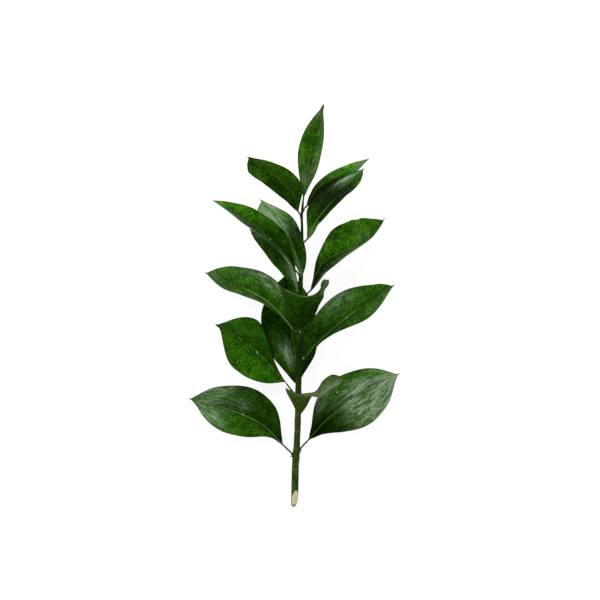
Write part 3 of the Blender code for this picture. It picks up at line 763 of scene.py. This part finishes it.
def make_leaf(leaf, number, materials):
    upper, lower, along, across, off, edge = leaf_shape(leaf, number)
    mesh, over, under = closed_mesh(leaf.name + "_fine", upper, lower)
    obj = linked(leaf.name + "_fine", mesh)
    for made in materials:
        mesh.materials.append(made)
    with_scars(mesh, [scar_shape(upper, along, across, scar) for scar in leaf.scars])
    places = over, under, len(mesh.vertices)
    for name, value in leaf_values(leaf, along[:, None], across, off, edge).items():
        paint_value(mesh, name, spread(value, *places))
    grain = (across * BLADE_GRAIN, run_along(middle_of(upper))[:, None])
    paint_grain(mesh, np.stack([spread(value, *places) for value in grain], axis=1))
    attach(obj, "root")
    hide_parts(leaf.name)


def colour(value):
    """A screen's red, green and blue from 0 to 255 in linear light; any other value as it is."""
    if not isinstance(value, tuple) or len(value) != 3:
        return value
    parts = [c / 255 for c in value]
    return (*[c / 12.92 if c <= 0.04045 else ((c + 0.055) / 1.055) ** 2.4 for c in parts], 1)


class Shading:
    """Short calls for the nodes of a material or of the world."""

    def __init__(self, owner):
        owner.use_nodes = True
        self.owner, self.tree = owner, owner.node_tree

    def plug(self, value, socket):
        if isinstance(value, bpy.types.NodeSocket):
            self.tree.links.new(value, socket)
        else:
            socket.default_value = colour(value)

    def made(self, kind, inputs, output=0, **settings):
        """The output of a new node with values or links in its inputs."""
        node = self.tree.nodes.new(kind)
        for key, value in settings.items():
            setattr(node, key, value)
        for key, value in inputs.items():
            self.plug(value, node.inputs[key])
        return node.outputs[output]

    def value(self, name):
        """A painted value of the mesh."""
        return self.made("ShaderNodeAttribute", {}, "Fac", attribute_name=name)

    def scaled(self, shade, *factors):
        for factor in factors:
            shade = self.made("ShaderNodeVectorMath", {0: shade, "Scale": factor}, operation="SCALE")
        return shade

    def maths(self, operation, *values, clamp=False):
        return self.made("ShaderNodeMath", dict(enumerate(values)), operation=operation, use_clamp=clamp)

    def product(self, first, *others):
        for other in others:
            first = self.maths("MULTIPLY", first, other)
        return first

    def blended(self, first, second, share):
        """Two noises mixed, with a share of the first."""
        return self.maths("MULTIPLY_ADD", first, share, self.product(second, round(1 - share, 2)))

    def step(self, value, low, high, start=0.0, end=1.0):
        """From start to end, smoothly, as value goes from low to high."""
        given = {"Value": value, "From Min": low, "From Max": high, "To Min": start, "To Max": end}
        return self.made("ShaderNodeMapRange", given, interpolation_type="SMOOTHSTEP")

    def mix(self, factor, a, b):
        return self.made("ShaderNodeMix", {0: factor, 6: a, 7: b}, 2, data_type="RGBA")

    def ramp(self, value, stops):
        output = self.made("ShaderNodeValToRGB", {0: value})
        elements = output.node.color_ramp.elements
        while len(elements) < len(stops):
            elements.new(0.5)
        for element, (place, shade) in zip(elements, stops):
            element.position, element.color = place, colour(shade)
        return output

    def noise(self, where, scale, detail, rough, shift=0.0):
        given = {"Vector": where, "Scale": scale, "Location": [shift] * 3}
        given = {"Vector": self.made("ShaderNodeMapping", given), "Scale": 1.0}
        return self.made("ShaderNodeTexNoise", {**given, "Detail": detail, "Roughness": rough}, "Fac")

    def grain(self, across, along, *rest):
        """Noise in the blade's own coordinates, stretched along the veins."""
        return self.noise(self.made("ShaderNodeUVMap", {}, uv_map="grain"), [across, along, 1], *rest)

    def spots(self, scale, *rest):
        """Noise in the mesh's own coordinates, the same along and across."""
        return self.noise(self.made("ShaderNodeTexCoord", {}, "Object"), [scale] * 3, *rest)

    def bump(self, height, distance, strength, under=None):
        given = {"Strength": strength, "Distance": distance * MM, "Height": height}
        if under is not None:
            given["Normal"] = under
        return self.made("ShaderNodeBump", given)

    def fill(self, node, given):
        """Gives values or links to inputs of one of the nodes."""
        for name, value in given.items():
            self.plug(value, self.tree.nodes[node].inputs[name])

    def skin(self, base, roughness, normal, **others):
        """Gives the surface its colour, roughness and relief, and any other input by its name."""
        given = {"Base Color": base, "Roughness": roughness, "Normal": normal, **others}
        self.fill("Principled BSDF", given)
        return self.owner


def new_skin(name, roughness, shine):
    """A new material with its plain values set."""
    shade = Shading(bpy.data.materials.new(name))
    shade.fill("Principled BSDF", {"Roughness": roughness, "Specular IOR Level": shine})
    return shade


def with_ends(shade, base, sheen_breaks, sheen_colour):
    """Painted sheen, dark margin, brown point and purplish stalk over a blade's colour."""
    # Painted sheen: a painted reflection mixed in by the patches painted on the leaf, broken into streaks
    base = shade.mix(shade.maths("MULTIPLY", shade.value("bloom"), sheen_breaks, clamp=True), base, sheen_colour)
    edge, along = shade.value("edge"), shade.value("along")
    rim = shade.product(shade.step(edge, 0.25, 1.0, 0.72, 0.0), shade.step(along, 0.02, 0.06))
    base = shade.mix(rim, base, MARGIN)
    base = shade.mix(shade.step(along, 0.965, 0.99, 0.0, 0.7), base, SPINE)
    stalk = shade.step(along, -0.005, 0.035, 1.0, 0.0)
    base = shade.mix(stalk, base, STALK_GREEN)
    base = shade.mix(shade.product(stalk, shade.value("brown")), base, STALK_BROWN)
    foot = shade.product(shade.step(along, -0.05, -0.01, 1.0, 0.0), shade.value("pale"))
    return shade.mix(foot, base, STALK_FOOT)


def upper_material():
    shade = new_skin("leaf_upper_side", 0.36, LEAF_SHINE)
    blotches, specks = shade.spots(150.0, 3.0, 0.6), shade.spots(720.0, 2.0, 0.6)
    streaks = shade.grain(1.5, 0.11, 3.0, 0.7)
    fine = shade.grain(3.2, 0.16, 2.0, 0.6, 7.0)
    bands = shade.grain(0.42, 0.07, 2.0, 0.5, 3.0)
    off = shade.maths("ABSOLUTE", shade.value("off"))

    base = shade.ramp(shade.blended(blotches, streaks, 0.55), UPPER_GREENS)
    warm = shade.product(shade.value("warmth"), shade.step(blotches, 0.35, 0.65))
    # Painted light and shade on each half, then random grain, and darker near the rib
    base = shade.scaled(
        shade.mix(warm, base, UPPER_WARM),
        shade.value("tone"),
        shade.step(fine, 0.35, 0.65, 0.66, 1.36),
        shade.step(specks, 0.38, 0.62, 0.56, 1.48),
        shade.step(off, 0.5, 7.0, 0.72, 1.08),
    )
    fading = shade.step(shade.value("past_fade"), 0.0, 0.22, 1.0, 0.12)
    rib = shade.product(shade.step(off, 0.1, 0.6, 1.0, 0.0), fading, shade.value("rib_shows"), 0.75)
    base = shade.mix(rib, base, UPPER_RIB)
    # Streaks, bands and specks that break up the painted sheen
    sheen_breaks = shade.product(
        shade.maths("MULTIPLY_ADD", shade.step(streaks, 0.4, 0.62), 0.55, 0.36),
        shade.step(bands, 0.4, 0.6, 0.28, 1.4),
        shade.step(specks, 0.36, 0.6, 0.65, 1.15),
    )
    base = with_ends(shade, base, sheen_breaks, UPPER_PAINTED_SHEEN)
    relief = shade.bump(specks, 0.05, 0.35, shade.bump(streaks, 0.12, 0.5))
    return shade.skin(base, shade.maths("MULTIPLY_ADD", streaks, 0.16, 0.26), relief)


def under_material():
    shade = new_skin("leaf_under_side", 0.55, UNDER_SHINE)
    blotches, specks = shade.spots(120.0, 3.0, 0.6), shade.spots(900.0, 2.0, 0.6)
    streaks = shade.grain(1.8, 0.07, 3.0, 0.7)
    wrinkles = shade.grain(0.1, 0.5, 2.0, 0.6, 9.0)
    off = shade.maths("ABSOLUTE", shade.value("off"))

    base = shade.ramp(shade.blended(blotches, streaks, 0.5), UNDER_GREENS)
    # Painted light and shade on each half, then specks and wrinkles
    base = shade.scaled(
        shade.mix(shade.value("warmth"), base, UNDER_WARM),
        shade.value("tone"),
        shade.step(specks, 0.38, 0.62, 0.75, 1.25),
        shade.step(wrinkles, 0.4, 0.6, 0.62, 1.38),
    )
    rib = shade.step(off, 0.2, 0.8, 0.6, 0.0)
    base = shade.mix(shade.product(rib, shade.value("rib_shows")), base, UNDER_RIB)
    # Specks break up the painted sheen on the lower side
    base = with_ends(shade, base, shade.step(specks, 0.3, 0.6, 0.4, 0.8), UNDER_PAINTED_SHEEN)
    relief = shade.bump(wrinkles, 0.08, 0.5, shade.bump(streaks, 0.1, 0.5))
    return shade.skin(base, shade.maths("MULTIPLY_ADD", specks, 0.2, 0.45), relief)


def stem_material():
    shade = new_skin("stem_skin", 0.42, STEM_SHINE)
    lines = shade.grain(2.4, 0.05, 3.0, 0.6)
    rings = shade.grain(0.15, 0.75, 2.0, 0.6, 5.0)
    blotches, specks = shade.spots(210.0, 3.0, 0.6), shade.spots(900.0, 2.0, 0.6)
    cut = shade.value("cut")

    base = shade.ramp(shade.blended(lines, blotches, 0.6), STEM_GREENS)
    base = shade.mix(shade.value("green"), base, STEM_FRESH)
    # Painted light and shade by height and round the stem, then rings
    base = shade.scaled(base, shade.value("tone"), shade.step(rings, 0.35, 0.65, 0.72, 1.3))
    joint = shade.product(shade.value("joint"), shade.step(blotches, 0.35, 0.6, 0.1, 0.55))
    base = shade.mix(joint, base, STEM_JOINT)
    base = shade.mix(shade.value("bract"), base, shade.mix(shade.value("pale"), SCALE_DARK, SCALE_PALE))
    rim = shade.step(shade.value("cut_reach"), 0.8, 0.97, 0.0, 0.85)
    wood = shade.ramp(shade.spots(1500.0, 2.0, 0.7), WOOD)
    base = shade.mix(cut, base, shade.mix(rim, wood, WOOD_RIM))
    rough = shade.maths("MULTIPLY_ADD", cut, 0.3, shade.maths("MULTIPLY_ADD", specks, 0.2, 0.32))
    return shade.skin(base, rough, shade.bump(rings, 0.06, 0.5, shade.bump(lines, 0.12, 0.6)))


def scar_material():
    shade = new_skin("scar_skin", 0.6, LEAF_SHINE)
    specks = shade.spots(1400.0, 2.0, 0.6)
    rough = shade.maths("MULTIPLY_ADD", specks, 0.2, 0.45)
    return shade.skin(shade.ramp(specks, SCAR_GREENS), rough, shade.bump(specks, 0.05, 0.4))


def floor_material():
    shade = new_skin("floor_paper", 0.8, FLOOR_SHINE)
    grain = shade.spots(40.0, 2.0, 0.5)
    glow = {"Emission Color": WHITE, "Emission Strength": FLOOR_GLOW}
    return shade.skin(shade.ramp(grain, FLOOR_GREYS), 0.8, shade.bump(grain, 0.02, 0.1), **glow)


def cut_plane():
    """A point of the slanting cut and the direction that it faces."""
    slope, turn = math.radians(CUT_SLOPE), math.radians(CUT_TURN)
    heel = np.array(STEM_ROUTE[0], float) + (0, 0, -STEM_RADIUS_AT[0][1])
    along = np.array((0.0, math.cos(slope), math.sin(slope)))
    side = np.array((math.cos(turn), 0.0, -math.sin(turn)))
    along = unit(along - np.dot(along, side) * side)
    return heel, unit(np.cross(side, along))


def tube_mesh(name, rows):
    """A tube of rings as a mesh, with both ends closed and its faces turned outwards."""
    rings, sides, _ = rows.shape
    points = rows.reshape(-1, 3)
    faces = ring_faces(rings, sides)
    for ring in (0, rings - 1):
        points, fan = with_cap(points, [ring * sides + k for k in range(sides)], ring > 0)
        faces += fan
    mesh = new_mesh(name, points, faces)
    shape = bmesh.new()
    shape.from_mesh(mesh)
    bmesh.ops.recalc_face_normals(shape, faces=shape.faces)
    shape.to_mesh(mesh)
    shape.free()
    return mesh


def linked(name, mesh):
    obj = bpy.data.objects.new(name, mesh)
    bpy.context.scene.collection.objects.link(obj)
    return obj


def ring_angles(sides, shift=0.0):
    return TURN * (np.arange(sides) + shift) / sides


def round_about(direction, angles):
    """Directions square to another one, at angles from straight down."""
    side = unit(np.cross(direction, (0, 0, 1)))
    over = np.cross(side, direction)
    return np.sin(angles)[:, None] * side - np.cos(angles)[:, None] * over


def stem_relief(height, angles):
    """Ridges along the stem and slow waves of its skin, as shares of the radius."""
    starts = np.random.default_rng(STEM_SEED).uniform(0, 6, len(STEM_RIDGES))
    ridges = zip(STEM_RIDGES, starts)
    relief = sum(share * np.cos(count * angles + start) for (count, share), start in ridges) * RIDGE_SHARE
    for depth, rate, turns in STEM_WAVES:
        relief = relief + depth * np.sin(height * rate + turns * angles)
    return relief


def stem_ring(height, radius_share=1.0):
    """The ring at a height, or one point for each side where a height is given for each."""
    angles = ring_angles(STEM_SIDES, 0.5)
    height = np.broadcast_to(np.asarray(height, float), angles.shape)
    radius = stem_radius(height) * radius_share * (1 + stem_relief(height, angles))
    out = round_about(stem_direction(np.maximum(height, HALF_STEP)), angles)
    return stem_point(height) + radius[:, None] * out


def cut_heights():
    """Where the slanting cut meets each side of the stem."""
    heel, facing = cut_plane()
    low, high = np.zeros(STEM_SIDES), np.full(STEM_SIDES, LEVEL_LENGTH)
    for _ in range(CUT_SEARCH):
        half = (low + high) / 2
        outside = (stem_ring(half) - heel) @ facing > 0
        low, high = np.where(outside, half, low), np.where(outside, high, half)
    return (low + high) / 2


def stem_rows():
    """Rings of the stem: the cut face, slanted along the cut, then level, then up to the round top."""
    start, top = cut_heights(), STEM_LENGTH - TOP_REACH
    rows = [stem_ring(start + (LEVEL_LENGTH - start) * k / CUT_RINGS) for k in range(CUT_RINGS)]
    rows += [stem_ring(height) for height in np.linspace(LEVEL_LENGTH, top, STEM_RINGS)]
    rows += [stem_ring(top + rise, share) for rise, share in TOP_ROUND]
    centre = rows[0].mean(axis=0)
    face = [centre + (rows[0] - centre) * share for share in CUT_SHARES]
    rows = np.array(face + rows)
    rows[..., 2] = np.maximum(rows[..., 2], 0.0)
    rows[..., 1] = np.maximum(rows[..., 1], END_AT)
    return rows


def cushion_rows(leaf):
    """The cushion that a leaf's stalk stands on, wide at the stem and narrow at its end."""
    foot, away, reach = seat(leaf)
    shares = np.linspace(0, 1, CUSHION_RINGS)
    root = stem_radius(leaf.height) * CUSHION_ROOT
    widths = CUSHION_TIP + (root - CUSHION_TIP) * (1 - shares) ** CUSHION_FLARE
    line = foot + away * reach * shares[:, None]
    ring = round_about(away, ring_angles(CUSHION_SIDES))
    return line[:, None, :] + widths[:, None, None] * ring[None]


def scale_rows(leaf):
    """The pointed scale under a stalk: a keeled, papery sliver that leans out from the stem."""
    foot, away, _ = seat(leaf)
    direction, radius = stem_direction(leaf.height), stem_radius(leaf.height)
    out = unit(away - np.dot(away, direction) * direction)
    angle = math.radians(SCALE_SPREAD)
    lean = unit(away * math.cos(angle) + unit(out - direction) * math.sin(angle))
    low = foot - direction * SCALE_DROP + out * radius * SCALE_ROOT
    side = np.cross(direction, out)
    thick = unit(np.cross(side, lean))
    share = np.linspace(0, 1, SCALE_RINGS)[:, None, None]
    angles = ring_angles(SCALE_SIDES)[:, None]
    wide = SCALE_HALF_WIDTH * (1 - share**2.2) * (1 - 0.15 * share) + SCALE_LEAST[0]
    deep = SCALE_HALF_DEPTH * (1 - share) ** 0.7 + SCALE_LEAST[1]
    lift = np.sin(angles) * deep - SCALE_BOW * np.sin(math.pi * share) + SCALE_KEEL * np.cos(angles) ** 2
    return low + lean * (radius + SCALE_LENGTH) * share + np.cos(angles) * side * wide + thick * lift


def fused(obj, others):
    """One skin of an object and others, which are then removed."""
    collection = bpy.data.collections.new("fused")
    bpy.context.scene.collection.children.link(collection)
    for other in others:
        bpy.context.scene.collection.objects.unlink(other)
        collection.objects.link(other)
    change = obj.modifiers.new("fused", "BOOLEAN")
    change.operation, change.operand_type = "UNION", "COLLECTION"
    change.collection = collection
    mesh = bpy.data.meshes.new_from_object(obj.evaluated_get(bpy.context.evaluated_depsgraph_get()))
    obj.modifiers.clear()
    obj.data = mesh
    for other in others:
        bpy.data.objects.remove(other, do_unlink=True)
    bpy.data.collections.remove(collection)
    return mesh


def nearest_height(points):
    """The height along the stem and the distance from its middle line, for each point."""
    best, far = np.zeros(len(points)), np.zeros(len(points))
    for i in range(0, len(points), POINTS_AT_ONCE):
        part = slice(i, i + POINTS_AT_ONCE)
        distance = np.linalg.norm(points[part][:, None, :] - STEM_LINE[None], axis=2)
        near = distance.argmin(axis=1)
        best[part] = near * STEM_LENGTH / (len(STEM_LINE) - 1)
        far[part] = distance[np.arange(len(near)), near]
    return best, far


def joint_brown(height, reach):
    """How brown the stem is near its joints, at heights and at distances in radii."""
    near = [bell(height - leaf.height, JOINT_REACH) * JOINT_SHARE for leaf in LEAVES]
    joint = np.max([*near, ramp_up(reach, *JOINT_RISE)], axis=0)
    return joint * read(JOINT_BROWN_AT, height) * (height >= LEVEL_LENGTH)


def cut_reach(points, centre, rim):
    """How far out to the rim of the cut face each point lies, as a share."""
    out, spokes = points - centre, rim - rim.mean(axis=0)
    bearings = np.arctan2(spokes[:, 0], spokes[:, 1])
    order = np.argsort(bearings)
    lengths = np.linalg.norm(spokes, axis=1)
    there = np.interp(np.arctan2(out[:, 0], out[:, 1]), bearings[order], lengths[order], period=TURN)
    return np.linalg.norm(out, axis=1) / there


def paint_stem(mesh, rim):
    points = np.zeros(len(mesh.vertices) * 3)
    mesh.vertices.foreach_get("co", points)
    points = points.reshape(-1, 3) / MM
    height, far = nearest_height(points)
    heel, facing = cut_plane()
    on_cut = (np.abs((points - heel) @ facing) < CUT_DEPTH) & (height < LEVEL_LENGTH)
    reach = far / stem_radius(height)
    out = points - stem_point(height)
    turn = np.arctan2(out[:, 0], out[:, 2])
    # Painted shade on the sides of the lying stem and painted light on its top
    flank_shade = FLANK_PAINTED_SHADE[0] + FLANK_PAINTED_SHADE[1] * np.clip(np.cos(turn), 0, 1)
    values = {
        "tone": read(STEM_BRIGHTNESS_AT, height) * flank_shade * TOP_PAINTED_LIGHT,
        "green": ramp_up(height, *STEM_GREENER) * GREENER_SHARE,
        "joint": joint_brown(height, reach),
        "pale": ramp_up(height, *PALE_FROM) * (1 - ramp_up(height, *PALE_TO)),
        "bract": ramp_up(reach, *SCALE_RISE) * SCALE_SHARE * (height > LEVEL_LENGTH),
        "cut": on_cut * 1.0,
        "cut_reach": cut_reach(points, points[on_cut].mean(axis=0), rim),
    }
    for name, value in values.items():
        paint_value(mesh, name, value)
    paint_grain(mesh, np.stack((turn * STEM_GRAIN, height), axis=1))


def make_stem():
    rows = stem_rows()
    obj = linked("stem_fine", tube_mesh("stem_fine", rows))
    parts = []
    for leaf in LEAVES:
        made = [cushion_rows(leaf)] + ([scale_rows(leaf)] if leaf is not LEAVES[-1] else [])
        for k, shape in enumerate(made):
            shape[..., 2] = np.maximum(shape[..., 2], LOWEST_SEAT)
            name = f"{leaf.name}_seat_{k}"
            parts.append(linked(name, tube_mesh(name, shape)))
    mesh = fused(obj, parts)
    mesh.materials.clear()
    mesh.materials.append(stem_material())
    mesh.polygons.foreach_set("material_index", [0] * len(mesh.polygons))
    mesh.polygons.foreach_set("use_smooth", [True] * len(mesh.polygons))
    mesh.set_sharp_from_angle(angle=math.radians(SHARP_ANGLE))
    paint_stem(mesh, rows[len(CUT_SHARES)])
    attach(obj, "root")
    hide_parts("stem")


def make_camera():
    data = bpy.data.cameras.new("camera")
    data.sensor_width, data.lens, data.clip_start, data.clip_end = SENSOR, LENS, *CLIP
    camera = linked("camera", data)
    camera.location = CAMERA_PLACE
    bpy.context.scene.camera = camera


def add_light(name, place, power):
    data = bpy.data.lights.new(name, "AREA")
    data.shape, data.size, data.energy = "DISK", LIGHT_SIZE, power
    light = linked(name, data)
    light.location = place
    light.rotation_mode = "QUATERNION"
    light.rotation_quaternion = Vector(place).to_track_quat("Z", "Y")


def make_world():
    """Pale round the horizon and darker overhead, so that leaves mirror little sky to the camera."""
    world = bpy.data.worlds.new("studio")
    bpy.context.scene.world = world
    shade = Shading(world)
    where = shade.made("ShaderNodeTexCoord", {}, "Generated")
    height = shade.made("ShaderNodeSeparateXYZ", {0: where}, "Z")
    sky = shade.ramp(height, [(place, (bright, bright, bright, 1)) for place, bright in SKY])
    shade.fill("Background", {"Color": sky, "Strength": WORLD_STRENGTH})


def make_floor():
    half = FLOOR_HALF / MM
    corners = np.array([(-half, -half, 0), (half, -half, 0), (half, half, 0), (-half, half, 0)])
    mesh = new_mesh("floor", corners, [(0, 1, 2, 3)])
    mesh.materials.append(floor_material())
    linked("floor", mesh)


def make_scene():
    make_camera()
    make_world()
    make_floor()
    for light in LIGHTS:
        add_light(*light)
    bpy.context.scene.view_settings.view_transform = "Standard"
    materials = (upper_material(), under_material(), scar_material())
    for number, leaf in enumerate(LEAVES):
        make_leaf(leaf, number, materials)
    make_stem()


make_scene()
